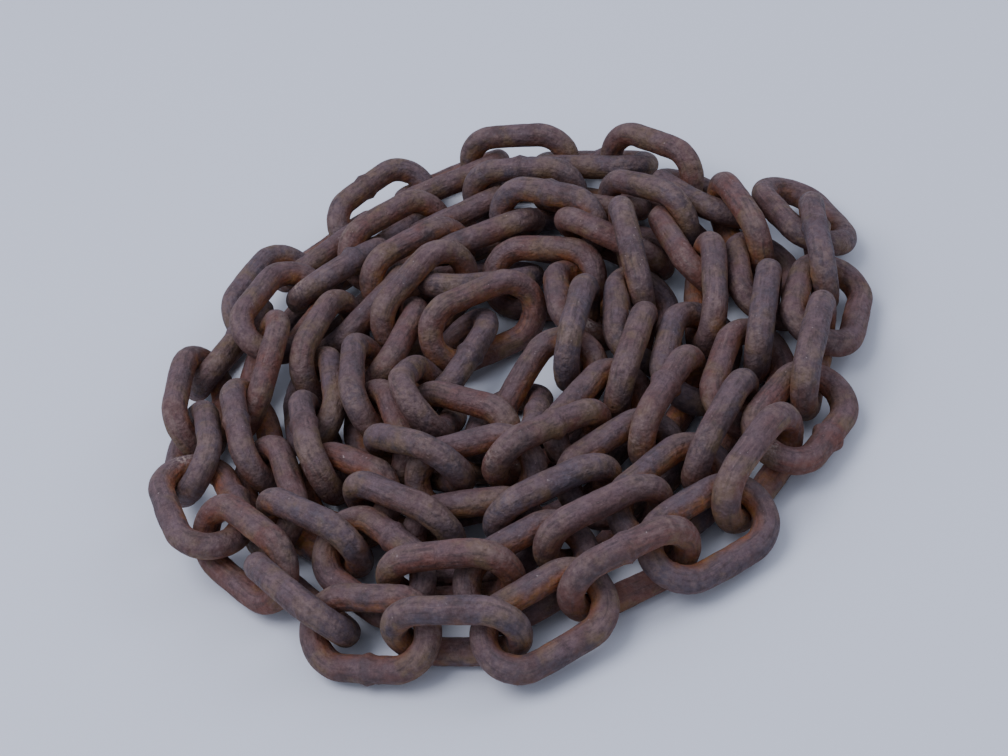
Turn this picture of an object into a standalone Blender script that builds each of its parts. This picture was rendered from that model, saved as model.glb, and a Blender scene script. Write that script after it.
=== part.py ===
"""Heap of iron chain: one welded short-link chain, coiled loosely in turns on a level floor.

Units are metres, +Z is up, and the origin is on the floor below the middle of the heap. The chain's route
is chosen by hand as its distance from the middle at each eighth of a turn. Links are set along that route,
each through the eye of the one before, and are then nested: each link is moved as a rigid piece, a little
at a time, until it clears its neighbours and lies as low as they let it.
"""

import math

import bmesh
import bpy
import numpy as np
from mathutils import Matrix

# Link: round bar bent to a ring with two straight sides.
WIRE = 0.010
EYE_LENGTH = 0.033
EYE_SIDE_PLAY = 0.004

# Route: turns from the outer loose end inwards, clockwise from above, one distance each eighth of a turn.
FIRST_ANGLE = math.radians(45)
TURN_DISTANCES = (
    (0.122, 0.110, 0.108, 0.110, 0.091, 0.079, 0.088, 0.112),
    (0.102, 0.087, 0.093, 0.096, 0.074, 0.065, 0.077, 0.088),
    (0.075, 0.075, 0.078, 0.074, 0.061, 0.055, 0.065, 0.071),
    (0.060, 0.060, 0.060, 0.060, 0.051, 0.044, 0.046, 0.050),
    (0.047, 0.045, 0.041, 0.039, 0.037, 0.031, 0.029, 0.020),
)
ROUTE_STEPS = 40

# Sway: the part of its distance by which the route goes in and out, and its wave's angle each eighth turn.
SWAY = 0.02
SWAY_TURN = 5.3

# Slack in the chain: the distance along the route from one link's middle to the next.
LAY_PITCH = 0.0257

# Links lie flat and on edge by turns, and each is tilted off that by a part of this angle.
TILT = math.radians(32)
TILT_STEP = 1.9

# Gaps: links of different pieces stay apart, and the links of one run bite into each other.
CLEARANCE = 0.0008
BITE = 0.0005

# Mesh: sides round the bar, and steps round each half-circle end of a link.
BAR_SIDES = 8
END_STEPS = 6

# Runs: links fused where they touch, so that the chain has few pieces.
LINKS_IN_RUN = 2
MOST_RUNS = 56

# Nesting rounds: those that lower the links, each with rounds that clear them, then those that only clear.
LOWERING_ROUNDS = 400
CLEARING_PASSES = 3
SETTLED_ROUNDS = 200
LAST_ROUNDS = 450

# Lowering in a round, and the share of its way back that a link is held to the route; both shrink to a part.
LOWERING = 0.001
LEAST_LOWERING = 0.15
HOLD = 0.02
LEAST_HOLD = 0.3

# Share of its distance that a link is drawn to the links it is strung with, and the most it moves and turns.
GATHER = 0.15
LONGEST_MOVE = 0.0015
LARGEST_TURN = 0.08

# Part of an overlap that a round clears, and how it falls with the number of places where a link touches.
FIRST_EFFORT = 1.3
SETTLED_EFFORT = 1.2
LAST_EFFORT = 1.1
LINK_CROWDING = 0.75
FLOOR_CROWDING = 0.6

# Finish: rusted iron.
RUST_COLOUR = (0.13, 0.075, 0.055, 1.0)
RUST_ROUGHNESS = 0.75
RUST_METALLIC = 0.25

EYE_WIDTH = WIRE + EYE_SIDE_PLAY
END_RADIUS = (EYE_WIDTH + WIRE) / 2
HALF_STRAIGHT = (EYE_LENGTH - EYE_WIDTH) / 2
LINK_LENGTH = EYE_LENGTH + 2 * WIRE
LINK_WIDTH = EYE_WIDTH + 2 * WIRE

# An eight-sided bar of this radius at its corners has the section of the round bar.
SECTOR = 2 * math.pi / BAR_SIDES
BAR_CORNER_RADIUS = WIRE / 2 * math.sqrt(SECTOR / math.sin(SECTOR))
BAR_FLAT_RADIUS = BAR_CORNER_RADIUS * math.cos(SECTOR / 2)

# A link resists turning like a ring of this radius.
TURNING_RADIUS = (LINK_LENGTH + LINK_WIDTH) / 6

# Places looked at along a link, and rounding that gives the same heap on every computer.
SAMPLES = 18
DIGITS = 10
TURN_DIGITS = 8
TINY = 1e-9


def dot(a, b):
    """Dot product of two arrays of vectors."""
    return a[..., 0] * b[..., 0] + a[..., 1] * b[..., 1] + a[..., 2] * b[..., 2]


def cross(a, b):
    """Cross product of two arrays of vectors."""
    x = a[..., 1] * b[..., 2] - a[..., 2] * b[..., 1]
    y = a[..., 2] * b[..., 0] - a[..., 0] * b[..., 2]
    z = a[..., 0] * b[..., 1] - a[..., 1] * b[..., 0]
    return np.stack([x, y, z], axis=-1)


def length(a):
    """Lengths of an array of vectors."""
    return np.sqrt(dot(a, a))


def total_by_link(count, links, vectors):
    """Sum of the vectors that belong to each link."""
    sums = [np.bincount(links, weights=vectors[:, axis], minlength=count) for axis in range(3)]
    return np.stack(sums, axis=-1)


def link_corners():
    """Corners of a link's centre line in its own flat, evenly spaced round each end."""
    # The corners stand a little outside the true curve and the chords between a little inside.
    corner_radius = 2 * END_RADIUS / (1 + math.cos(math.pi / END_STEPS / 2))
    corners = []
    for side in (1, -1):
        for step in range(END_STEPS + 1):
            angle = math.pi * (step / END_STEPS - 0.5)
            x = HALF_STRAIGHT + corner_radius * math.cos(angle)
            corners.append((side * x, side * corner_radius * math.sin(angle)))
    return corners


def even_outline(count):
    """Points at even distances along a link's centre line, from the middle of a straight side."""
    straight = 2 * HALF_STRAIGHT
    half_circle = math.pi * END_RADIUS
    points = []
    for number in range(count):
        along = 2 * (straight + half_circle) * number / count
        side = 1 if along < straight + half_circle else -1
        along %= straight + half_circle
        if along < straight:
            points.append((side * (along - HALF_STRAIGHT), -side * END_RADIUS))
            continue
        angle = (along - straight) / END_RADIUS - math.pi / 2
        x = HALF_STRAIGHT + END_RADIUS * math.cos(angle)
        points.append((side * x, side * END_RADIUS * math.sin(angle)))
    return np.round(points, DIGITS)


def route_points():
    """Fine points of the chain's route: a swaying spiral that sinks one link width a turn, inwards."""
    distances = [distance for turn in TURN_DISTANCES for distance in turn]
    outermost, innermost = 2 * distances[0] - distances[1], 2 * distances[-1] - distances[-2]
    padded = [outermost] + distances + [innermost]
    points = []
    for eighth in range(len(distances) - 1):
        before, start, end, after = padded[eighth : eighth + 4]
        for step in range(ROUTE_STEPS):
            t = step / ROUTE_STEPS
            bend = (end - before) * t + (2 * before - 5 * start + 4 * end - after) * t**2
            distance = start + 0.5 * (bend + (3 * start - before - 3 * end + after) * t**3)
            distance *= 1 + SWAY * math.sin(SWAY_TURN * (eighth + t))
            angle = FIRST_ANGLE - (eighth + t) * math.pi / 4
            height = LINK_WIDTH * (0.5 + (len(distances) - 1 - eighth - t) / 8)
            points.append((distance * math.cos(angle), distance * math.sin(angle), height))
    return np.array(points)


def links_in_run(count):
    """Links fused in each run, as many as keep the runs of a long chain few enough."""
    return max(LINKS_IN_RUN, math.ceil(count / MOST_RUNS))


def set_out_links():
    """Links along the route: centres, and the long, wide and thick directions of each."""
    route = route_points()
    along = np.concatenate([[0], np.cumsum(length(route[1:] - route[:-1]))])
    count = int(along[-1] / LAY_PITCH)
    # The chain is whole runs between its two loose end links.
    count -= (count - 2) % links_in_run(count)

    def at(places):
        return np.stack([np.interp(places, along, route[:, axis]) for axis in range(3)], axis=-1)

    middles = LAY_PITCH * (np.arange(count) + 0.5)
    long = at(middles + LAY_PITCH / 2) - at(middles - LAY_PITCH / 2)
    long = long / length(long)[:, None]
    level = np.stack([-long[:, 1], long[:, 0], 0 * long[:, 2]], axis=-1)
    level = level / length(level)[:, None]
    numbers = np.arange(count)
    roll = (numbers % 2 * math.pi / 2 + TILT * np.sin(TILT_STEP * numbers))[:, None]
    wide = level * np.cos(roll) + cross(long, level) * np.sin(roll)
    return at(middles), long, wide


def quaternions(long, wide):
    """Unit quaternions (w, x, y, z) of links with these long and wide directions."""
    found = []
    for x_axis, y_axis in zip(long, wide):
        z_axis = cross(x_axis, y_axis)
        turn = Matrix((x_axis, y_axis, z_axis)).transposed().to_quaternion()
        found.append(tuple(turn))
    return np.round(found, TURN_DIGITS)


class Links:
    """All links of the chain as rigid pieces, each with a centre and a turn."""

    def __init__(self, centres, turns):
        self.count = len(centres)
        self.outline = even_outline(SAMPLES)
        self.place(centres, turns)

    def place(self, centres, turns):
        """Sets the links, and the points along each link's centre line."""
        self.centres = np.round(centres, DIGITS)
        norm = np.sqrt(dot(turns[:, 1:], turns[:, 1:]) + turns[:, 0] * turns[:, 0])
        self.turns = np.round(turns / norm[:, None], DIGITS)
        w, x, y, z = (self.turns[:, part] for part in range(4))
        self.long = np.stack([1 - 2 * (y * y + z * z), 2 * (x * y + w * z), 2 * (x * z - w * y)], -1)
        self.wide = np.stack([2 * (x * y - w * z), 1 - 2 * (x * x + z * z), 2 * (y * z + w * x)], -1)
        self.thick = cross(self.long, self.wide)
        across = self.outline[None, :, 1:2] * self.wide[:, None]
        self.points = self.centres[:, None] + self.outline[None, :, 0:1] * self.long[:, None] + across

    def nearest(self, points, links):
        """Nearest place to each point on a link's centre line, and the outward direction there."""
        centre, long, wide = self.centres[links], self.long[links], self.wide[links]
        if points.ndim == 3:
            centre, long, wide = centre[:, None], long[:, None], wide[:, None]
        offset = points - centre
        x, y = dot(offset, long), dot(offset, wide)
        hub = np.minimum(np.maximum(x, -HALF_STRAIGHT), HALF_STRAIGHT)
        reach = np.sqrt((x - hub) * (x - hub) + y * y) + TINY
        outward = ((x - hub) / reach)[..., None] * long + (y / reach)[..., None] * wide
        return centre + hub[..., None] * long + END_RADIUS * outward, outward

    def contacts(self, first, second):
        """Closest places of pairs of links, the direction between them and their distance."""
        points = self.points[first]
        gaps = points - self.nearest(points, second)[0]
        closest = np.argmin(dot(gaps, gaps), axis=1)
        on_first = points[np.arange(len(first)), closest]
        on_second, out_second = self.nearest(on_first, second)
        for _ in range(2):
            on_first, out_first = self.nearest(on_second, first)
            on_second, out_second = self.nearest(on_first, second)
        apart = on_first - on_second
        distance = length(apart) + TINY
        direction = apart / distance[:, None]
        first_bar = bar_reach(direction, out_first, self.thick[first])
        second_bar = bar_reach(direction, out_second, self.thick[second])
        return on_first, on_second, direction, distance, first_bar + second_bar


def bar_reach(direction, outward, thick):
    """How far the eight-sided bar reaches from its centre line in a direction."""
    a = np.abs(dot(direction, outward))
    b = np.abs(dot(direction, thick))
    return BAR_CORNER_RADIUS * np.maximum(np.maximum(a, b), (a + b) * math.sqrt(0.5))


def turned(turns, vectors):
    """Quaternions turned by small rotation vectors."""
    w, x, y, z = (turns[:, part] for part in range(4))
    a, b, c = (vectors[:, axis] / 2 for axis in range(3))
    parts = [w - a * x - b * y - c * z, x + a * w + b * z - c * y, y + b * w + c * x - a * z]
    return np.stack(parts + [z + c * w + a * y - b * x], axis=-1)


def limited(vectors, most):
    """Vectors cut to a greatest length."""
    return vectors * np.minimum(1, most / np.maximum(length(vectors), TINY))[:, None]


def nest_round(links, fused, gather, effort, lowering=0.0, hold=0.0, targets=None):
    """Moves every link once: apart from those it is too near to, and off the floor where it is below."""
    count = links.count
    offsets = links.centres[:, None] - links.centres[None]
    near = dot(offsets, offsets) < (LINK_LENGTH + WIRE / 2) ** 2
    first, second = np.nonzero(near & ~np.eye(count, dtype=bool))
    on_first, on_second, direction, distance, reach = links.contacts(first, second)

    neighbours = np.abs(first - second) == 1
    joined = neighbours & fused[np.minimum(first, second)]
    depth = reach + CLEARANCE - distance
    depth = np.where(joined, np.maximum(2 * BAR_FLAT_RADIUS - BITE - distance, -LONGEST_MOVE), depth)
    strung = neighbours & ~joined & (depth < 0)
    depth = np.where(strung, gather * np.maximum(depth, -LONGEST_MOVE), depth)
    used = (depth > 0) | joined | (strung & (gather > 0))
    first, second, direction, depth = first[used], second[used], direction[used], depth[used]

    first_turn = cross(on_first[used] - links.centres[first], direction)
    second_turn = cross(on_second[used] - links.centres[second], direction)
    squared = TURNING_RADIUS**2
    share = depth / (2 + (dot(first_turn, first_turn) + dot(second_turn, second_turn)) / squared)
    push, twist = direction * share[:, None], (share / squared)[:, None]
    moves = total_by_link(count, first, push) - total_by_link(count, second, push)
    turns = total_by_link(count, first, first_turn * twist)
    turns -= total_by_link(count, second, second_turn * twist)
    touches = np.bincount(first, minlength=count) + np.bincount(second, minlength=count)
    softer = (effort / np.maximum(touches, 1) ** LINK_CROWDING)[:, None]
    moves, turns = moves * softer, turns * softer

    sunk = BAR_CORNER_RADIUS - links.points[:, :, 2]
    low, point = np.nonzero(sunk > 0)
    arm = links.points[low, point] - links.centres[low]
    up = np.zeros_like(arm)
    up[:, 2] = 1
    tilt = cross(arm, up)
    spread = np.maximum(np.bincount(low, minlength=count), 1) ** FLOOR_CROWDING
    share = effort * sunk[low, point] / (1 + dot(tilt, tilt) / squared) / spread[low]
    moves += total_by_link(count, low, up * share[:, None])
    turns += total_by_link(count, low, tilt * (share / squared)[:, None])

    moves, turns = limited(moves, LONGEST_MOVE), limited(turns, LARGEST_TURN)
    moves[:, 2] -= lowering
    if targets is not None:
        moves[:, :2] += hold * (targets - links.centres[:, :2])
    links.place(links.centres + moves, turned(links.turns, turns))


def nested_links():
    """Places of all links, nested in a heap, and which links are fused to the next."""
    centres, long, wide = set_out_links()
    links = Links(centres, quaternions(long, wide))
    targets = links.centres[:, :2].copy()
    fused = fused_links(links.count)
    for number in range(LOWERING_ROUNDS):
        left = 1 - number / LOWERING_ROUNDS
        lowering = LOWERING * (LEAST_LOWERING + (1 - LEAST_LOWERING) * left)
        hold = HOLD * (LEAST_HOLD + (1 - LEAST_HOLD) * left)
        nest_round(links, fused, GATHER, FIRST_EFFORT, lowering, hold, targets)
        for _ in range(CLEARING_PASSES):
            nest_round(links, fused, GATHER, FIRST_EFFORT)
    for _ in range(SETTLED_ROUNDS):
        nest_round(links, fused, GATHER / 2, SETTLED_EFFORT)
    for _ in range(LAST_ROUNDS):
        nest_round(links, fused, 0.0, LAST_EFFORT)
    return links, fused


def fused_links(count):
    """Whether each link is fused to the next: runs between a loose link at each end of the chain."""
    in_run = links_in_run(count)
    fused = np.array([link % in_run != 0 for link in range(count)])
    fused[[0, count - 2, count - 1]] = False
    return fused


def clear_scene():
    """Removes what the scene starts with."""
    for thing in list(bpy.data.objects):
        bpy.data.objects.remove(thing)


def new_collection(name):
    """A collection of this name, linked to the scene."""
    collection = bpy.data.collections.new(name)
    bpy.context.scene.collection.children.link(collection)
    return collection


def rusted_iron():
    """Finish of every link."""
    material = bpy.data.materials.new("rusted_iron")
    material.use_nodes = True
    shader = material.node_tree.nodes["Principled BSDF"]
    shader.inputs["Base Color"].default_value = RUST_COLOUR
    shader.inputs["Roughness"].default_value = RUST_ROUGHNESS
    shader.inputs["Metallic"].default_value = RUST_METALLIC
    return material


def link_mesh(material):
    """Mesh of one link, round the origin, with its length along X and its eye facing Z."""
    corners = link_corners()
    curve = bpy.data.curves.new("link_bar", "CURVE")
    curve.dimensions = "3D"
    curve.bevel_depth = BAR_CORNER_RADIUS
    curve.bevel_resolution = BAR_SIDES // 2 - 2
    spline = curve.splines.new("POLY")
    spline.points.add(len(corners) - 1)
    spline.use_cyclic_u = True
    for point, (x, y) in zip(spline.points, corners):
        point.co = (x, y, 0, 1)
    bar = bpy.data.objects.new("link_bar", curve)
    bpy.context.scene.collection.objects.link(bar)
    bpy.context.view_layer.update()
    mesh = bpy.data.meshes.new_from_object(bar.evaluated_get(bpy.context.evaluated_depsgraph_get()))
    bpy.data.objects.remove(bar)
    mesh.materials.clear()
    mesh.materials.append(material)
    mesh.shade_smooth()
    return mesh


def place_link(name, template, links, number, shift, collection):
    """One link of the chain, at its place in the heap."""
    mesh = template.copy()
    mesh.name = name
    axes = (links.long[number], links.wide[number], links.thick[number])
    place = Matrix(axes).transposed().to_4x4()
    place.translation = links.centres[number] + shift
    mesh.transform(place)
    link = bpy.data.objects.new(name, mesh)
    collection.objects.link(link)
    return link


def heap_shift(links, corners):
    """Move that sets the heap's middle over the origin and its lowest corner on the floor."""
    x, y, z = corners[:, None, 0:1], corners[:, None, 1:2], corners[:, None, 2:3]
    places = links.centres + x * links.long + y * links.wide + z * links.thick
    low, high = places.min(axis=(0, 1)), places.max(axis=(0, 1))
    return np.array([-(low[0] + high[0]) / 2, -(low[1] + high[1]) / 2, -low[2]])


def run_starts(fused):
    """First link of each run."""
    return [link for link in range(len(fused)) if link == 0 or not fused[link - 1]]


def run_names(starts):
    """Names of the chain's pieces, from the outer end inwards."""
    middle = [f"chain_run_{number:02d}" for number in range(1, len(starts) - 1)]
    return ["outer_end_link"] + middle + ["inner_end_link"]


def join_links(run, others):
    """Joins more links to the first link of a run, and takes the others away."""
    for other in others:
        union = run.modifiers.new(other.name, "BOOLEAN")
        union.operation = "UNION"
        union.solver = "EXACT"
        union.object = other
    bpy.context.view_layer.update()
    mesh = bpy.data.meshes.new_from_object(run.evaluated_get(bpy.context.evaluated_depsgraph_get()))
    run.modifiers.clear()
    run.data = mesh
    mesh.name = run.name
    for other in others:
        bpy.data.objects.remove(other)


def fill_pockets(mesh):
    """Removes the tiny closed pockets that are left where the sides of two bars meet."""
    shape = bmesh.new()
    shape.from_mesh(mesh)
    left = set(shape.verts)
    islands = []
    while left:
        reached = [left.pop()]
        for corner in reached:
            beside = {edge.other_vert(corner) for edge in corner.link_edges} & left
            left -= beside
            reached.extend(beside)
        islands.append(reached)
    islands.sort(key=len)
    for island in islands[:-1]:
        bmesh.ops.delete(shape, geom=island, context="VERTS")
    shape.to_mesh(mesh)
    shape.free()


def main():
    clear_scene()
    heap = new_collection("iron_chain_heap")
    links, fused = nested_links()
    template = link_mesh(rusted_iron())
    corners = np.array([vertex.co[:] for vertex in template.vertices])
    shift = heap_shift(links, corners)
    starts = run_starts(fused)
    for name, start, stop in zip(run_names(starts), starts, starts[1:] + [links.count]):
        run = place_link(name, template, links, start, shift, heap)
        others = [
            place_link(f"{name}_link_{number - start + 1}", template, links, number, shift, heap)
            for number in range(start + 1, stop)
        ]
        if others:
            join_links(run, others)
            fill_pockets(run.data)
    bpy.data.meshes.remove(template)


main()
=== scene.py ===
"""Looks of the heap of iron chain: rusted forged links, a pale floor, soft light and the camera.

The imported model's nodes hold plain eight-sided links. Each link's place is read from its node, and a link
modelled in full, with its weld, wear, dents and rust, is set in the same place. Units are metres.
"""

import logging
import math
from dataclasses import dataclass, field
from enum import Enum

import bmesh
import bpy
import numpy as np
from mathutils import Matrix, Vector


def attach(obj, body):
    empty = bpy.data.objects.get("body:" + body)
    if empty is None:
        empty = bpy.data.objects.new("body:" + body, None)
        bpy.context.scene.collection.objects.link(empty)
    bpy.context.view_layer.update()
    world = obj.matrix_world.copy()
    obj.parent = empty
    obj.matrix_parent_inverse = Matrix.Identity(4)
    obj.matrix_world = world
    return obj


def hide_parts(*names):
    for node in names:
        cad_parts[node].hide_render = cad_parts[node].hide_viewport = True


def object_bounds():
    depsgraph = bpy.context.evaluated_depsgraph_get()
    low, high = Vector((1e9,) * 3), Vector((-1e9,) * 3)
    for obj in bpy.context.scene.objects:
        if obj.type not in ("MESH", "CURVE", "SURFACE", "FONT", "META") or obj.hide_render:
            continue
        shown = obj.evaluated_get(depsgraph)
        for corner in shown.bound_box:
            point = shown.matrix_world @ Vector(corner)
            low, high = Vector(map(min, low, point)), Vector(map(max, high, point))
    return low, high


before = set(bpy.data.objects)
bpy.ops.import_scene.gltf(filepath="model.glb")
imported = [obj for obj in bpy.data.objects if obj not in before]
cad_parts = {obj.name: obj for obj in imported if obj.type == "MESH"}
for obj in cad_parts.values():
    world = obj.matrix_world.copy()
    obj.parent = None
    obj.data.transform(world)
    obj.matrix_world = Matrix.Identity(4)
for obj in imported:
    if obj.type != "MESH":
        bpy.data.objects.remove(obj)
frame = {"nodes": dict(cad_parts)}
CAD_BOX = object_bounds()

MM = 0.001
# Stands in for a length of zero in a division.
TINY = 1e-9
BODY = "root"
FIRST_NODE = "outer_end_link"
RUN_NODES = "chain_run"
LAST_NODE = "inner_end_link"

# Of every three links the second shows its weld, and of every nine the fifth has a burr on it.
RAISED_EVERY, RAISED_TURN = 3, 1
BURRED_EVERY, BURRED_TURN = 9, 4

# Steps from one link's share to the next. They are irrational, so that each kind of share spreads evenly
# and neither goes with the other.
TONE_STEP = (math.sqrt(5) - 1) / 2
WET_STEP = math.sqrt(2)

# Sockets of Blender's mix node where it mixes colours.
MIX_SHARE, MIX_BELOW, MIX_ABOVE, MIX_RESULT = 0, 6, 7, 2

logger = logging.getLogger("chain_heap")


def linear(colour: str) -> tuple[float, float, float, float]:
    """Turns an sRGB hex colour to linear values.

    Args:
        colour: six hex digits after a number sign.

    Returns:
        Red, green, blue and an alpha of one.
    """
    parts = [int(colour[start : start + 2], 16) / 255 for start in (1, 3, 5)]
    red, green, blue = (
        part / 12.92 if part <= 0.04045 else ((part + 0.055) / 1.055) ** 2.4 for part in parts
    )
    return red, green, blue, 1.0


def add_node(
    tree: bpy.types.NodeTree, kind: str, inputs: dict[str | int, object] | None = None, **settings: object
) -> bpy.types.Node:
    """Adds a node with its settings, and links or sets its inputs.

    Args:
        tree: the node tree.
        kind: the node's type name.
        inputs: for each input name or number, a value or the output socket that feeds it.
        settings: attributes of the node.

    Returns:
        The new node.
    """
    node = tree.nodes.new(kind)
    for name, value in settings.items():
        setattr(node, name, value)
    for key, value in (inputs or {}).items():
        if isinstance(value, bpy.types.NodeSocket):
            tree.links.new(value, node.inputs[key])
        else:
            node.inputs[key].default_value = value
    return node


def vertex_places(mesh: bpy.types.Mesh) -> np.ndarray:
    """Reads the places of a mesh's vertices.

    Args:
        mesh: the mesh.

    Returns:
        The places, one in each row.
    """
    flat = np.zeros(3 * len(mesh.vertices))
    mesh.vertices.foreach_get("co", flat)
    return flat.reshape(-1, 3)


def share_of_link(number: int, step: float) -> float:
    """Gives each link a share from zero to one, far from those of the links beside it."""
    return math.modf(0.5 + number * step)[0]


def smooth(share: np.ndarray) -> np.ndarray:
    """Eases shares from zero to one at both ends."""
    return share * share * (3 - 2 * share)


@dataclass(frozen=True)
class LinkSizes:
    """Sizes of one link of 10 mm short-link chain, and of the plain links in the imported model."""

    wire: float = 0.010
    eye_length: float = 0.033
    eye_width: float = 0.014
    plain_bar_sides: int = 8
    plain_end_steps: int = 6

    @property
    def end_radius(self) -> float:
        """Radius of the bar's centre line round an end."""
        return (self.eye_width + self.wire) / 2

    @property
    def half_straight(self) -> float:
        """Half the length of a straight side."""
        return (self.eye_length - self.eye_width) / 2

    @property
    def bar_radius(self) -> float:
        """Radius of the round bar."""
        return self.wire / 2

    @property
    def plain_bar_radius(self) -> float:
        """Radius of the plain bar at its corners, where its section is that of the round bar."""
        sector = 2 * math.pi / self.plain_bar_sides
        return self.wire / 2 * math.sqrt(sector / math.sin(sector))

    @property
    def plain_end_radius(self) -> float:
        """Radius of the plain link's centre line at its corners round an end."""
        return 2 * self.end_radius / (1 + math.cos(math.pi / self.plain_end_steps / 2))


@dataclass(frozen=True)
class LinkPlace:
    """Where one link lies: its node, its middle, and the directions of its length and width."""

    node: str
    centre: np.ndarray
    long: np.ndarray
    wide: np.ndarray
    sizes: LinkSizes = field(default_factory=LinkSizes)

    @property
    def thick(self) -> np.ndarray:
        """Direction through the link's eye."""
        return np.cross(self.long, self.wide)

    def matrix(self) -> Matrix:
        """Placement of a link that was modelled flat at the origin, with its length along X."""
        axes = Matrix((self.long, self.wide, self.thick)).transposed()
        return Matrix.Translation(Vector(self.centre)) @ axes.to_4x4()

    def from_bar(self, points: np.ndarray) -> tuple[np.ndarray, np.ndarray, np.ndarray]:
        """Measures points against the centre line of this link's bar.

        Args:
            points: places, one in each row.

        Returns:
            Distances from the centre line, directions away from it, and how far each point looks into
            the eye: one on the bar's inner side, minus one on its outer side.
        """
        offset = points - self.centre
        along, across, up = offset @ self.long, offset @ self.wide, offset @ self.thick
        hub = np.clip(along, -self.sizes.half_straight, self.sizes.half_straight)
        reach = np.maximum(np.hypot(along - hub, across), TINY)
        outwards = reach - self.sizes.end_radius
        distance = np.maximum(np.hypot(outwards, up), TINY)
        radial = ((along - hub) / reach)[:, None] * self.long + (across / reach)[:, None] * self.wide
        away = (outwards[:, None] * radial + up[:, None] * self.thick) / distance[:, None]
        return distance, away, -outwards / distance

    def unrolled(self, points: np.ndarray) -> np.ndarray:
        """Unrolls points along the bar, from the middle of the unwelded side both ways to the weld.

        Args:
            points: places, one in each row.

        Returns:
            For each point, the distance along the centre line, and those outwards and up from it.
        """
        offset = points - self.centre
        along, across, up = offset @ self.long, offset @ self.wide, offset @ self.thick
        straight, radius = self.sizes.half_straight, self.sizes.end_radius
        hub = np.clip(along, -straight, straight)
        swept = np.arctan2(np.abs(along - hub), -across)
        passed = np.where(across <= 0, np.abs(hub), 2 * straight - np.abs(hub))
        distance = np.sign(along) * (radius * swept + passed)
        return np.stack([distance, np.hypot(along - hub, across) - radius, up], axis=1)


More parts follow.
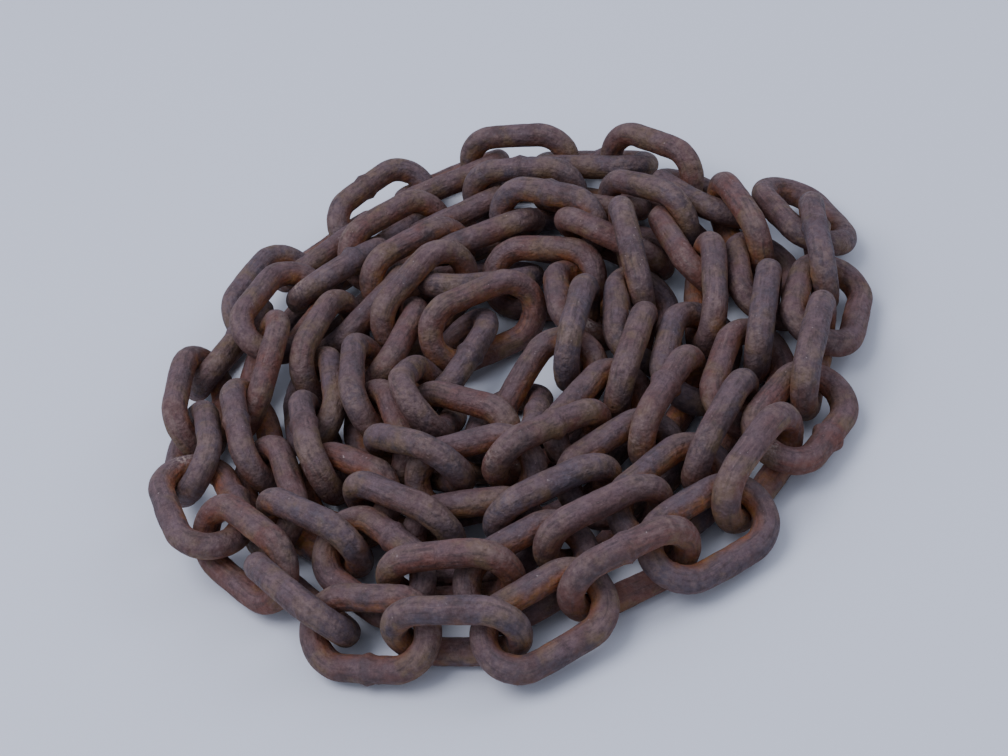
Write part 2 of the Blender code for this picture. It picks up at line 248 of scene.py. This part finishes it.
@dataclass
class LinkReader:
    """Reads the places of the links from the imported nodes, by the corners of their eight-sided bars."""

    sizes: LinkSizes = field(default_factory=LinkSizes)
    tolerance: float = 5e-6
    outline_tolerance: float = 2e-5
    decimals: int = 7
    least_corner_pairs: int = 3
    least_sections: int = 8

    def places(self, nodes: dict[str, bpy.types.Object]) -> list[LinkPlace]:
        """Reads every link of the chain.

        Args:
            nodes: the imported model's nodes by name.

        Returns:
            The links in order, from the chain's outer end inwards.
        """
        runs = sorted(name for name in nodes if name.startswith(RUN_NODES))
        chain: list[LinkPlace] = []
        for name in [FIRST_NODE, *runs, LAST_NODE]:
            found = self._links_of(name, self._sections(self._corners(nodes[name])))
            if chain:
                found.sort(key=lambda place: float(np.linalg.norm(place.centre - chain[-1].centre)))
            chain.extend(found)
        return chain

    def _corners(self, node: bpy.types.Object) -> np.ndarray:
        """Corner points of a node's mesh, each once."""
        return np.unique(vertex_places(node.data).round(self.decimals), axis=0)

    def _sections(self, corners: np.ndarray) -> np.ndarray:
        """Finds the middles of the bar's sections, each half way between pairs of opposite corners.

        Args:
            corners: corner points of one or more plain links.

        Returns:
            Middles of the sections that have enough corners left.
        """
        apart = np.linalg.norm(corners[:, None] - corners[None], axis=2)
        width = 2 * self.sizes.plain_bar_radius
        first, second = np.nonzero(np.triu(np.abs(apart - width) < self.tolerance))
        middles = (corners[first] + corners[second]) / 2
        same = np.linalg.norm(middles[:, None] - middles[None], axis=2) < 2 * self.tolerance
        kept = [number for number, row in enumerate(same) if row.sum() >= self.least_corner_pairs]
        leaders = [number for number in kept if not same[number, :number].any()]
        return np.array([middles[same[number]].mean(axis=0) for number in leaders])

    def _links_of(self, node: str, sections: np.ndarray) -> list[LinkPlace]:
        """Fits links to the sections of one node.

        Args:
            node: name of the node.
            sections: middles of the bar's sections.

        Returns:
            The links whose sections are found where the link would have them.
        """
        radius = self.sizes.plain_end_radius
        step = math.pi / self.sizes.plain_end_steps
        apart = np.linalg.norm(sections[:, None] - sections[None], axis=2)
        beside = np.abs(apart - 2 * radius * math.sin(step / 2)) < self.tolerance
        found: list[LinkPlace] = []
        for middle, row in enumerate(beside):
            for first, last in self._pairs(np.nonzero(row)[0]):
                if abs(apart[first, last] - 2 * radius * math.sin(step)) > self.tolerance:
                    continue
                inwards = sections[first] + sections[last] - 2 * sections[middle]
                hub = sections[middle] + radius * inwards / np.linalg.norm(inwards)
                best = self._best_turn(node, sections, hub, sections[first] - hub, sections[middle] - hub)
                if best and all(np.linalg.norm(best.centre - other.centre) > MM for other in found):
                    found.append(best)
        return found

    def _pairs(self, numbers: np.ndarray) -> list[tuple[int, int]]:
        """Every pair of a few numbers."""
        return [(int(a), int(b)) for place, a in enumerate(numbers) for b in numbers[place + 1 :]]

    def _best_turn(
        self, node: str, sections: np.ndarray, hub: np.ndarray, first: np.ndarray, second: np.ndarray
    ) -> LinkPlace | None:
        """Turns a link round the hub of one end, a step at a time, and keeps the turn that fits best.

        Args:
            node: name of the node.
            sections: middles of all sections in the node.
            hub: middle of the link's end.
            first: a section of that end, from the hub.
            second: the section beside it, from the hub.

        Returns:
            The link, or nothing where too few sections fit.
        """
        normal = np.cross(first, second)
        normal /= np.linalg.norm(normal)
        start = first / np.linalg.norm(first)
        side = np.cross(normal, start)
        outline = self._plain_outline()
        best, most = None, self.least_sections - 1
        for turn in range(2 * self.sizes.plain_end_steps):
            angle = turn * math.pi / self.sizes.plain_end_steps
            long = start * math.cos(angle) + side * math.sin(angle)
            wide = np.cross(normal, long)
            centre = hub - self.sizes.half_straight * long
            wanted = centre + outline[:, :1] * long + outline[:, 1:] * wide
            misses = np.linalg.norm(wanted[:, None] - sections[None], axis=2).min(axis=1)
            fits = int((misses < self.outline_tolerance).sum())
            if fits > most:
                best, most = LinkPlace(node, centre, long, wide, self.sizes), fits
        return best

    def _plain_outline(self) -> np.ndarray:
        """Finds the corners of the plain link's centre line.

        Returns:
            Their places in the link's own flat, one in each row.
        """
        corners: list[tuple[float, float]] = []
        for side in (1, -1):
            for step in range(self.sizes.plain_end_steps + 1):
                angle = math.pi * (step / self.sizes.plain_end_steps - 0.5)
                x = self.sizes.half_straight + self.sizes.plain_end_radius * math.cos(angle)
                corners.append((side * x, side * self.sizes.plain_end_radius * math.sin(angle)))
        return np.array(corners)


class Seam(Enum):
    """How the weld in the middle of a link's straight side was left."""

    FLUSH = "flush"
    RAISED = "raised"
    BURRED = "burred"

    @classmethod
    def of_link(cls, number: int) -> "Seam":
        """Chooses the weld of a link.

        Args:
            number: the link's number in the chain, from zero.

        Returns:
            The way its weld was left.
        """
        if number % BURRED_EVERY == BURRED_TURN:
            return cls.BURRED
        return cls.RAISED if number % RAISED_EVERY == RAISED_TURN else cls.FLUSH


@dataclass
class LinkForge:
    """Models the link: round bar bent to a ring, drawn out, welded and worn."""

    sizes: LinkSizes = field(default_factory=LinkSizes)
    ring_steps: int = 36
    bar_sides: int = 16
    side_cuts: int = 3
    # Vertices this near the ring's middle stay there when its halves are pulled apart.
    middle: float = 0.05 * MM
    # An edge was pulled out if it is longer than this share of half a side.
    pulled_share: float = 0.95
    wear_depth: float = 0.0004
    wear_width: float = 0.0035
    bead_half_width: float = 0.0022
    bead_height: float = 0.0008
    # The bead rises in two steps, the second over its inner half.
    bead_steps: tuple[float, ...] = (1.0, 0.5)
    burr_growth: float = 1.5

    def forge(self, seam: Seam) -> bpy.types.Object:
        """Models one link flat at the origin, with its length along X.

        Args:
            seam: how its weld was left.

        Returns:
            The link, to be copied.
        """
        bpy.ops.object.select_all(action="DESELECT")
        bpy.ops.mesh.primitive_torus_add(
            major_segments=self.ring_steps,
            minor_segments=self.bar_sides,
            major_radius=self.sizes.end_radius,
            minor_radius=self.sizes.bar_radius,
        )
        link = bpy.context.object
        link.name = f"forged_link_{seam.value}"
        bpy.ops.object.mode_set(mode="EDIT")
        self._draw_out(link)
        bpy.ops.object.mode_set(mode="OBJECT")
        rounding = link.modifiers.new("rounding", "SUBSURF")
        rounding.levels = 1
        rounding.render_levels = 1
        bpy.ops.object.modifier_apply(modifier=rounding.name)
        bpy.ops.object.mode_set(mode="EDIT")
        self._wear_ends(link)
        self._weld(link, seam)
        bpy.ops.mesh.select_all(action="SELECT")
        bpy.ops.mesh.normals_make_consistent(inside=False)
        bpy.ops.object.mode_set(mode="OBJECT")
        bpy.ops.object.shade_smooth()
        return link

    def _select(self, link: bpy.types.Object, chosen: np.ndarray) -> None:
        """Selects vertices of a link.

        Args:
            link: the link, in edit mode.
            chosen: for each vertex, whether it is selected.
        """
        shape = bmesh.from_edit_mesh(link.data)
        for vertex, wanted in zip(shape.verts, chosen):
            vertex.select_set(bool(wanted))
        shape.select_flush_mode()
        bmesh.update_edit_mesh(link.data)

    def _points(self, link: bpy.types.Object) -> np.ndarray:
        """Places of a link's vertices in edit mode."""
        return np.array([vertex.co[:] for vertex in bmesh.from_edit_mesh(link.data).verts])

    def _draw_out(self, link: bpy.types.Object) -> None:
        """Pulls the ring's two halves apart, and cuts the straight sides into even lengths.

        Args:
            link: the ring, in edit mode.
        """
        for side in (1, -1):
            self._select(link, side * self._points(link)[:, 0] > self.middle)
            bpy.ops.transform.translate(value=(side * self.sizes.half_straight, 0, 0))
        shape = bmesh.from_edit_mesh(link.data)
        bpy.ops.mesh.select_all(action="DESELECT")
        for edge in shape.edges:
            edge.select_set(edge.calc_length() > self.sizes.half_straight * self.pulled_share)
        bmesh.update_edit_mesh(link.data)
        bpy.ops.mesh.subdivide(number_cuts=self.side_cuts)

    def _wear_ends(self, link: bpy.types.Object) -> None:
        """Hollows the inside of both ends, where the next links rub.

        Args:
            link: the link, in edit mode.
        """
        for side in (1, -1):
            points = self._points(link)
            inner = self.sizes.half_straight + self.sizes.end_radius - self.sizes.bar_radius
            near = np.abs(points[:, 1]) < self.wear_width
            near &= np.abs(points[:, 2]) < self.wear_width
            near &= np.abs(side * points[:, 0] - inner) < self.wear_width / 2
            self._select(link, near)
            bpy.ops.transform.translate(value=(side * self.wear_depth, 0, 0))

    def _weld(self, link: bpy.types.Object, seam: Seam) -> None:
        """Raises the weld's bead round the middle of one straight side.

        Args:
            link: the link, in edit mode.
            seam: how the weld was left.
        """
        if seam is Seam.FLUSH:
            return
        burr = self.burr_growth if seam is Seam.BURRED else 1.0
        growth = 1 + burr * self.bead_height / len(self.bead_steps) / self.sizes.bar_radius
        for share in self.bead_steps:
            points = self._points(link)
            near = np.abs(points[:, 0]) < self.bead_half_width * share
            self._select(link, near & (points[:, 1] > 0))
            bpy.ops.transform.resize(
                value=(1, growth, growth), center_override=(0, self.sizes.end_radius, 0)
            )


class Push(Enum):
    """Which way dents move the surface, by Blender's names."""

    ALONG_X = "X"
    ALONG_Y = "Y"
    INTO_BAR = "NORMAL"


@dataclass(frozen=True)
class Dents:
    """One scale of unevenness of the bar: how wide, deep and fine its dents are, and which way they go."""

    name: str
    width_mm: float
    depth_mm: float
    push: Push = Push.INTO_BAR
    octaves: int = 2

    def press(self, link: bpy.types.Object) -> None:
        """Presses the dents into a link.

        Args:
            link: the link, the active object, with its mesh in place.
        """
        texture = bpy.data.textures.get(self.name) or bpy.data.textures.new(self.name, "CLOUDS")
        texture.noise_scale = self.width_mm * MM
        texture.noise_depth = self.octaves
        dent = link.modifiers.new(self.name, "DISPLACE")
        dent.texture = texture
        dent.texture_coords = "LOCAL"
        dent.direction = self.push.value
        # Half of the strength goes out and half in, because the texture's middle is left where it is.
        dent.strength = 2 * self.depth_mm * MM
        dent.mid_level = 0.5
        bpy.ops.object.modifier_apply(modifier=dent.name)


class Trace(Enum):
    """The numbers that each link's mesh carries for its finish. The last one has three parts."""

    SHELTER = "shelter"
    # Dust on what faces up, together with painted light: the tops are paled as if lit from above.
    DUST_AND_PAINTED_LIGHT = "dust"
    TONE = "tone"
    SCAR = "scar"
    CROWN = "crown"
    ALONG_BAR = "along_bar"


@dataclass(frozen=True)
class Weathering:
    """How rust, dust and handling follow the shape of a link and the links round it, and where painted
    light pales what faces up.
    """

    # How far a touching link's shelter reaches, and how sheltered the eye's side and a contact are.
    contact_reach: float = 0.0035
    inner_shelter: float = 0.45
    contact_shelter: float = 0.6
    # Each link lay in the wet for its own time, which weakens or strengthens its sheltered rust.
    driest: float = 0.6
    wettest: float = 1.5
    # How much shelter is lost on what faces up.
    open_sky: float = 0.25
    # From how steep a rise the dust and the painted light from above start, over what span they grow, and
    # how much of them is kept off next to a touching link, which leaves painted shade there.
    dust_and_painted_light_start: float = 0.25
    dust_and_painted_light_span: float = 0.6
    contact_dust_and_painted_light: float = 0.8
    # How far down a bend is still paled by handling.
    crown_lean: float = 0.3
    scar_reach: float = 0.0035
    # How many times longer than wide the rolls' lines are, and how far they differ from link to link.
    streak_stretch: float = 8.0
    streak_shift: float = 0.37

    def of_link(
        self,
        place: LinkPlace,
        number: int,
        others: list[LinkPlace],
        points: np.ndarray,
        upward: np.ndarray,
    ) -> dict[Trace, np.ndarray]:
        """Works out the numbers that a link's mesh carries.

        Args:
            place: where the link lies.
            number: its number in the chain, from zero.
            others: the links near it.
            points: places of its vertices.
            upward: how far up each vertex's normal points, from minus one to one.

        Returns:
            For each trace, one number or row of numbers for each vertex.
        """
        inner_side = place.from_bar(points)[2]
        gap = np.full(len(points), np.inf)
        for other in others:
            gap = np.minimum(gap, other.from_bar(points)[0] - other.sizes.bar_radius)
        close = np.exp(-np.maximum(gap, 0) / self.contact_reach)
        shelter = self.inner_shelter * np.maximum(inner_side, 0) + self.contact_shelter * close
        # Squared, so that only a few links are very wet.
        shelter *= self.driest + (self.wettest - self.driest) * share_of_link(number, WET_STEP) ** 2
        rise = np.clip((upward - self.dust_and_painted_light_start) / self.dust_and_painted_light_span, 0, 1)
        lean = np.clip(upward + self.crown_lean, 0, 1)
        unrolled = place.unrolled(points)
        unrolled[:, 0] = unrolled[:, 0] / self.streak_stretch + self.streak_shift * number
        return {
            Trace.SHELTER: np.clip(shelter - self.open_sky * upward, 0, 1),
            # Dust together with painted light: what faces up is paled as if lit from above, less so next to
            # a touching link, where it paints shade.
            Trace.DUST_AND_PAINTED_LIGHT: smooth(rise) * (1 - self.contact_dust_and_painted_light * close),
            Trace.CROWN: self._on_bend(place, points) * np.clip(-inner_side, 0, 1) * lean,
            Trace.TONE: np.full(len(points), share_of_link(number, TONE_STEP)),
            Trace.SCAR: self._scar(place, number, points),
            Trace.ALONG_BAR: unrolled,
        }

    def _on_bend(self, place: LinkPlace, points: np.ndarray) -> np.ndarray:
        """One round a link's two bends, falling to zero on its straight sides."""
        beyond = np.abs((points - place.centre) @ place.long) - place.sizes.half_straight
        return np.clip(beyond / place.sizes.bar_radius, 0, 1)

    def _scar(self, place: LinkPlace, number: int, points: np.ndarray) -> np.ndarray:
        """Marks where a hook has torn the rust on the higher end of a link with a burred weld.

        Args:
            place: where the link lies.
            number: its number in the chain, from zero.
            points: places of its vertices.

        Returns:
            One in the middle of the scar, falling to zero round it.
        """
        if Seam.of_link(number) is not Seam.BURRED:
            return np.zeros(len(points))
        side = 1.0 if place.long[2] > 0 else -1.0
        reach = place.sizes.half_straight + place.sizes.end_radius
        middle = place.centre + side * reach * place.long + np.array((0, 0, place.sizes.bar_radius))
        return np.exp(-((np.linalg.norm(points - middle, axis=1) / self.scar_reach) ** 2))


@dataclass
class ChainHeap:
    """The heap: one modelled link at the place of each plain one."""

    places: list[LinkPlace]
    material: bpy.types.Material
    forge: LinkForge = field(default_factory=LinkForge)
    weathering: Weathering = field(default_factory=Weathering)
    neighbour_distance: float = 0.064
    seating_rounds: int = 3
    dents: tuple[Dents, ...] = (
        Dents("bent_along_x", 40.0, 0.5, Push.ALONG_X, octaves=0),
        Dents("bent_along_y", 43.0, 0.5, Push.ALONG_Y, octaves=0),
        Dents("hammer_marks", 14.0, 0.4),
        Dents("rust_scale", 2.6, 0.10, octaves=1),
    )

    def build(self) -> list[bpy.types.Object]:
        """Makes every link, in place, gives it its body and material, and hides the node that it stands in
        for.

        Returns:
            The links, from the chain's outer end inwards.
        """
        patterns = {seam: self.forge.forge(seam) for seam in Seam}
        links = [self._link(number, patterns) for number in range(len(self.places))]
        for pattern in patterns.values():
            bpy.data.meshes.remove(pattern.data)
        return links

    def _link(self, number: int, patterns: dict[Seam, bpy.types.Object]) -> bpy.types.Object:
        """Makes one link.

        Args:
            number: its number in the chain, from zero.
            patterns: the modelled link with each kind of weld.

        Returns:
            The link, with its own mesh.
        """
        place = self.places[number]
        mesh = patterns[Seam.of_link(number)].data.copy()
        mesh.name = f"link_{number + 1:02d}"
        mesh.transform(place.matrix())
        link = bpy.data.objects.new(mesh.name, mesh)
        bpy.context.scene.collection.objects.link(link)
        bpy.ops.object.select_all(action="DESELECT")
        bpy.context.view_layer.objects.active = link
        link.select_set(True)
        for dents in self.dents:
            dents.press(link)
        self._seat(link.data, number)
        self._weather(link.data, number)
        link.data.materials.clear()
        link.data.materials.append(self.material)
        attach(link, BODY)
        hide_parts(place.node)
        return link

    def _neighbours(self, number: int) -> list[LinkPlace]:
        """Finds the links that may touch a link.

        Args:
            number: the link's number in the chain, from zero.

        Returns:
            The places of those near enough.
        """
        own = self.places[number].centre
        return [
            place
            for other, place in enumerate(self.places)
            if other != number and np.linalg.norm(place.centre - own) < self.neighbour_distance
        ]

    def _seat(self, mesh: bpy.types.Mesh, number: int) -> None:
        """Wears flats where the link meets others, and keeps it within the heap's box.

        Args:
            mesh: the link's mesh, in place.
            number: the link's number in the chain, from zero.
        """
        points = vertex_places(mesh)
        for _ in range(self.seating_rounds):
            own_distance = self.places[number].from_bar(points)[0]
            for other in self._neighbours(number):
                distance, away, _ = other.from_bar(points)
                points += away * np.maximum(own_distance - distance, 0)[:, None] / 2
        points = np.clip(points, np.array(CAD_BOX[0]), np.array(CAD_BOX[1]))
        mesh.vertices.foreach_set("co", points.ravel())
        mesh.update()

    def _weather(self, mesh: bpy.types.Mesh, number: int) -> None:
        """Stores on a link's mesh the numbers that its finish follows.

        Args:
            mesh: the link's mesh, in place.
            number: the link's number in the chain, from zero.
        """
        points = vertex_places(mesh)
        normals = np.zeros(3 * len(points))
        mesh.vertices.foreach_get("normal", normals)
        upward = normals.reshape(-1, 3)[:, 2]
        others = self._neighbours(number)
        traces = self.weathering.of_link(self.places[number], number, others, points, upward)
        for trace, values in traces.items():
            if values.ndim == 1:
                mesh.attributes.new(trace.value, "FLOAT", "POINT").data.foreach_set("value", values)
            else:
                carried = mesh.attributes.new(trace.value, "FLOAT_VECTOR", "POINT")
                carried.data.foreach_set("vector", values.ravel())


@dataclass(frozen=True)
class Patches:
    """Patches in the rust: their width, and the noise values at which they start and are full.

    Lengthwise patches are drawn out along the bar, as the rolls drew out its scale at the mill.
    """

    width_mm: float
    start: float
    full: float
    detail: float = 4.0
    coarseness: float = 0.6
    lengthwise: bool = False


@dataclass(frozen=True)
class Coat:
    """One colour of the rust, laid over those before it.

    It lies in its patches, the more so where the trace that it follows is strong, or where the trace that
    it shuns is weak.
    """

    colour: str
    patches: Patches
    strength: float = 1.0
    follows: Trace | None = None
    shuns: Trace | None = None


@dataclass(frozen=True)
class Relief:
    """One scale of the rust's relief: its width and height, how strongly it shades and how fine it is."""

    width_mm: float
    height_mm: float
    strength: float
    lengthwise: bool = False
    detail: float = 3.0
    coarseness: float = 0.5


@dataclass(frozen=True)
class RustedIron:
    """Mild steel bar, hot rolled, bent and welded, and rusted outdoors over its mill scale.

    The mill scale left the bar dark and dull, with faint lines along it. Rain then browned it all over,
    the sheltered insides kept a loose orange rust, and handling and dust have greyed what faces up; that
    grey is also painted light, paling the tops as if lit from above. It gives the eye no shine, only soft
    mottled browns with paler bends.
    """

    mill_scale: str = "#3F3032"
    coats: tuple[Coat, ...] = (
        # Brown rust, redder on some links and cooler on the others, with a golden film in places.
        Coat("#553A33", Patches(8.0, 0.38, 0.62)),
        Coat("#65372A", Patches(18.0, 0.33, 0.58, 3.0), follows=Trace.TONE),
        Coat("#483F4A", Patches(15.0, 0.33, 0.58, 3.0), shuns=Trace.TONE),
        Coat("#6A543B", Patches(13.0, 0.48, 0.64, 3.0), 0.8),
        # Grey bloom where dust lies, which also paints the light on what faces up, and orange and ochre
        # rust where water stays.
        Coat("#604B52", Patches(8.0, 0.20, 0.75, 3.0), follows=Trace.DUST_AND_PAINTED_LIGHT),
        Coat("#8E4F27", Patches(6.0, 0.30, 0.60), follows=Trace.SHELTER),
        Coat("#94652F", Patches(4.0, 0.48, 0.66), follows=Trace.SHELTER),
        # Dark lines left by the rolls, dark and pale grain, and pale lines on what faces up, which also
        # paint its light. The real ones are about 0.2 mm wide, and are drawn 1 to 3 mm wide so that the
        # render shows them.
        Coat("#2E2224", Patches(1.3, 0.47, 0.70, 3.0, lengthwise=True), 0.55),
        Coat("#2A1F20", Patches(2.0, 0.42, 0.72, 6.0, 0.8), 0.5),
        Coat("#775E5B", Patches(2.6, 0.47, 0.72, 6.0, 0.8), 0.5),
        Coat("#7B625F", Patches(1.6, 0.55, 0.75, 3.0, lengthwise=True), 0.5, follows=Trace.DUST_AND_PAINTED_LIGHT),
        # Bends paled by handling, rubbed specks on what faces up, which also paint its light, and metal
        # that a hook has torn bare.
        Coat("#75605A", Patches(2.6, 0.36, 0.66, 5.0, 0.65), 0.55, follows=Trace.CROWN),
        Coat("#988986", Patches(1.6, 0.67, 0.76, 3.0, 0.7), follows=Trace.DUST_AND_PAINTED_LIGHT),
        Coat("#917E76", Patches(1.1, 0.45, 0.60), follows=Trace.SCAR),
    )
    # Flakes, the rolls' lines and grain. The real ones are about 0.1 mm high, and are drawn coarser and
    # higher so that they show.
    reliefs: tuple[Relief, ...] = (
        Relief(2.4, 0.90, 0.9),
        Relief(1.3, 0.35, 0.8, lengthwise=True),
        Relief(0.9, 0.30, 0.9),
    )
    roughness_patches: Patches = Patches(2.0, 0.3, 0.7)
    roughness_low: float = 0.62
    roughness_high: float = 0.9
    # Rust is an oxide, and hides the metal under it.
    metallic: float = 0.0

    def material(self) -> bpy.types.Material:
        """Builds the finish from its coats and reliefs, from the mill scale up.

        Returns:
            The material.
        """
        finish = bpy.data.materials.new("rusted_mild_steel")
        finish.use_nodes = True
        tree = finish.node_tree
        shader = tree.nodes["Principled BSDF"]
        tree.links.new(self._colour(tree), shader.inputs["Base Color"])
        inputs = {
            "Value": self._patches(tree, self.roughness_patches),
            "To Min": self.roughness_low,
            "To Max": self.roughness_high,
        }
        rough = add_node(tree, "ShaderNodeMapRange", inputs).outputs["Result"]
        tree.links.new(rough, shader.inputs["Roughness"])
        tree.links.new(self._relief(tree), shader.inputs["Normal"])
        shader.inputs["Metallic"].default_value = self.metallic
        return finish

    def _trace(self, tree: bpy.types.NodeTree, trace: Trace) -> bpy.types.Node:
        """Adds a node that reads a trace from the mesh."""
        return add_node(tree, "ShaderNodeAttribute", attribute_name=trace.value)

    def _noise(self, tree: bpy.types.NodeTree, scale: Patches | Relief) -> bpy.types.NodeSocket:
        """Adds a noise on the object's coordinates, or on those along its bar.

        Args:
            tree: the node tree.
            scale: what the noise draws, with its width, detail, coarseness and direction.

        Returns:
            The noise's values.
        """
        if scale.lengthwise:
            place = self._trace(tree, Trace.ALONG_BAR).outputs["Vector"]
        else:
            place = add_node(tree, "ShaderNodeTexCoord").outputs["Object"]
        inputs = {
            "Vector": place,
            "Scale": 1 / (scale.width_mm * MM),
            "Detail": scale.detail,
            "Roughness": scale.coarseness,
        }
        return add_node(tree, "ShaderNodeTexNoise", inputs).outputs["Fac"]

    def _patches(self, tree: bpy.types.NodeTree, patches: Patches) -> bpy.types.NodeSocket:
        """Makes a mask of patches.

        Args:
            tree: the node tree.
            patches: their sizes.

        Returns:
            Zero between the patches and one on them.
        """
        inputs = {
            "Value": self._noise(tree, patches),
            "From Min": patches.start,
            "From Max": patches.full,
        }
        mask = add_node(tree, "ShaderNodeMapRange", inputs, interpolation_type="SMOOTHSTEP")
        return mask.outputs["Result"]

    def _mask(self, tree: bpy.types.NodeTree, coat: Coat) -> bpy.types.NodeSocket:
        """Makes the mask of a coat: its patches times its strength and the trace that it follows.

        Args:
            tree: the node tree.
            coat: the coat.

        Returns:
            How much of the surface it covers, from zero to one.
        """
        mask = self._patches(tree, coat.patches)
        shares: list[bpy.types.NodeSocket | float] = []
        if coat.strength < 1:
            shares.append(coat.strength)
        if coat.follows:
            shares.append(self._trace(tree, coat.follows).outputs["Fac"])
        if coat.shuns:
            inputs = {0: 1.0, 1: self._trace(tree, coat.shuns).outputs["Fac"]}
            shares.append(add_node(tree, "ShaderNodeMath", inputs, operation="SUBTRACT").outputs[0])
        for share in shares:
            inputs = {0: mask, 1: share}
            product = add_node(tree, "ShaderNodeMath", inputs, operation="MULTIPLY", use_clamp=True)
            mask = product.outputs[0]
        return mask

    def _colour(self, tree: bpy.types.NodeTree) -> bpy.types.NodeSocket:
        """Lays the coats over the mill scale, in their order.

        Args:
            tree: the node tree.

        Returns:
            The colour of the uppermost coat at each place.
        """
        colour = linear(self.mill_scale)
        for coat in self.coats:
            inputs = {MIX_SHARE: self._mask(tree, coat), MIX_BELOW: colour, MIX_ABOVE: linear(coat.colour)}
            colour = add_node(tree, "ShaderNodeMix", inputs, data_type="RGBA").outputs[MIX_RESULT]
        return colour

    def _relief(self, tree: bpy.types.NodeTree) -> bpy.types.NodeSocket:
        """Adds the reliefs to each other, from the widest to the finest.

        Args:
            tree: the node tree.

        Returns:
            The normal of the surface that they give.
        """
        inputs: dict[str | int, object] = {}
        for relief in self.reliefs:
            inputs["Height"] = self._noise(tree, relief)
            inputs["Distance"] = relief.height_mm * MM
            inputs["Strength"] = relief.strength
            inputs["Normal"] = add_node(tree, "ShaderNodeBump", inputs).outputs["Normal"]
        return inputs["Normal"]


@dataclass(frozen=True)
class PaleFloor:
    """A floor of board under rolled matt paint, which gives an even surface with a faint cool tone."""

    half_width: float = 12.0
    paint: str = "#D9DEEA"
    roughness: float = 0.7

    def build(self) -> bpy.types.Object:
        """Makes the floor, below the heap.

        Returns:
            The floor.
        """
        bpy.ops.object.select_all(action="DESELECT")
        bpy.ops.mesh.primitive_plane_add(size=2 * self.half_width)
        floor = bpy.context.object
        floor.name = "pale_floor"
        finish = bpy.data.materials.new("matt_painted_board")
        finish.use_nodes = True
        shader = finish.node_tree.nodes["Principled BSDF"]
        shader.inputs["Base Color"].default_value = linear(self.paint)
        shader.inputs["Roughness"].default_value = self.roughness
        floor.data.materials.append(finish)
        return floor


def direction(azimuth: float, elevation: float) -> Vector:
    """Finds the direction from the heap to a place round it.

    Args:
        azimuth: degrees round from the front (minus Y) towards plus X.
        elevation: degrees above the floor.

    Returns:
        A direction of length one.
    """
    turn, rise = math.radians(azimuth), math.radians(elevation)
    return Vector((math.sin(turn) * math.cos(rise), -math.cos(turn) * math.cos(rise), math.sin(rise)))


@dataclass(frozen=True)
class SoftLight:
    """One large soft lamp: where it stands round the heap, how wide it is and how strong."""

    name: str
    azimuth: float
    elevation: float
    distance: float
    width: float
    watts: float
    colour: str

    def build(self) -> bpy.types.Object:
        """Makes the lamp, facing the heap.

        Returns:
            The lamp.
        """
        lamp = bpy.data.lights.new(self.name, "AREA")
        lamp.shape = "DISK"
        lamp.size = self.width
        lamp.energy = self.watts
        lamp.color = linear(self.colour)[:3]
        light = bpy.data.objects.new(self.name, lamp)
        bpy.context.scene.collection.objects.link(light)
        place = direction(self.azimuth, self.elevation) * self.distance
        light.location = place
        light.rotation_euler = place.to_track_quat("Z", "Y").to_euler()
        return light


@dataclass(frozen=True)
class Studio:
    """Even light from all round, with soft lamps above."""

    surround: str = "#D6DDEE"
    surround_strength: float = 0.85
    lamps: tuple[SoftLight, ...] = (
        SoftLight(
            "overhead_lamp",
            azimuth=-60.0,
            elevation=68.0,
            distance=1.6,
            width=1.1,
            watts=16.0,
            colour="#F7F6FF",
        ),
        SoftLight(
            "side_lamp",
            azimuth=120.0,
            elevation=40.0,
            distance=1.8,
            width=0.9,
            watts=4.5,
            colour="#EEF0FF",
        ),
    )

    def build(self) -> None:
        """Makes the world's light and the lamps."""
        world = bpy.data.worlds.new("studio")
        world.use_nodes = True
        background = world.node_tree.nodes["Background"]
        background.inputs["Color"].default_value = linear(self.surround)
        background.inputs["Strength"].default_value = self.surround_strength
        bpy.context.scene.world = world
        for lamp in self.lamps:
            lamp.build()


@dataclass(frozen=True)
class PhotoCamera:
    """The camera where the photograph was taken from, turned to the heap, with a longer lens."""

    azimuth: float = 24.7
    elevation: float = 42.3
    distance: float = 0.775
    lens: float = 73.0
    looks_at: tuple[float, float, float] = (0.0, 0.0, 0.012)
    nearest: float = 0.05

    def build(self) -> bpy.types.Object:
        """Makes the camera, with the photograph's level across the picture, along X.

        Returns:
            The camera.
        """
        camera = bpy.data.objects.new("photo_camera", bpy.data.cameras.new("photo_camera"))
        camera.data.lens = self.lens
        camera.data.clip_start = self.nearest
        bpy.context.scene.collection.objects.link(camera)
        place = direction(self.azimuth, self.elevation) * self.distance
        back = (place - Vector(self.looks_at)).normalized()
        level = Vector((1.0, 0.0, 0.0))
        right = (level - level.dot(back) * back).normalized()
        turn = Matrix((right, back.cross(right), back)).transposed()
        camera.matrix_world = Matrix.Translation(place) @ turn.to_4x4()
        bpy.context.scene.camera = camera
        return camera


def main() -> None:
    """Builds the heap's links, the stage, the light and the camera."""
    logging.basicConfig(level=logging.INFO, format="%(name)s: %(message)s")
    PhotoCamera().build()
    Studio().build()
    logger.info("floor: %s", PaleFloor().build().name)
    places = LinkReader().places(frame["nodes"])
    logger.info("read %d links from %d nodes", len(places), len(frame["nodes"]))
    for link in ChainHeap(places, RustedIron().material()).build():
        logger.info("%s: %d faces", link.name, len(link.data.polygons))


if __name__ == "__main__":
    main()
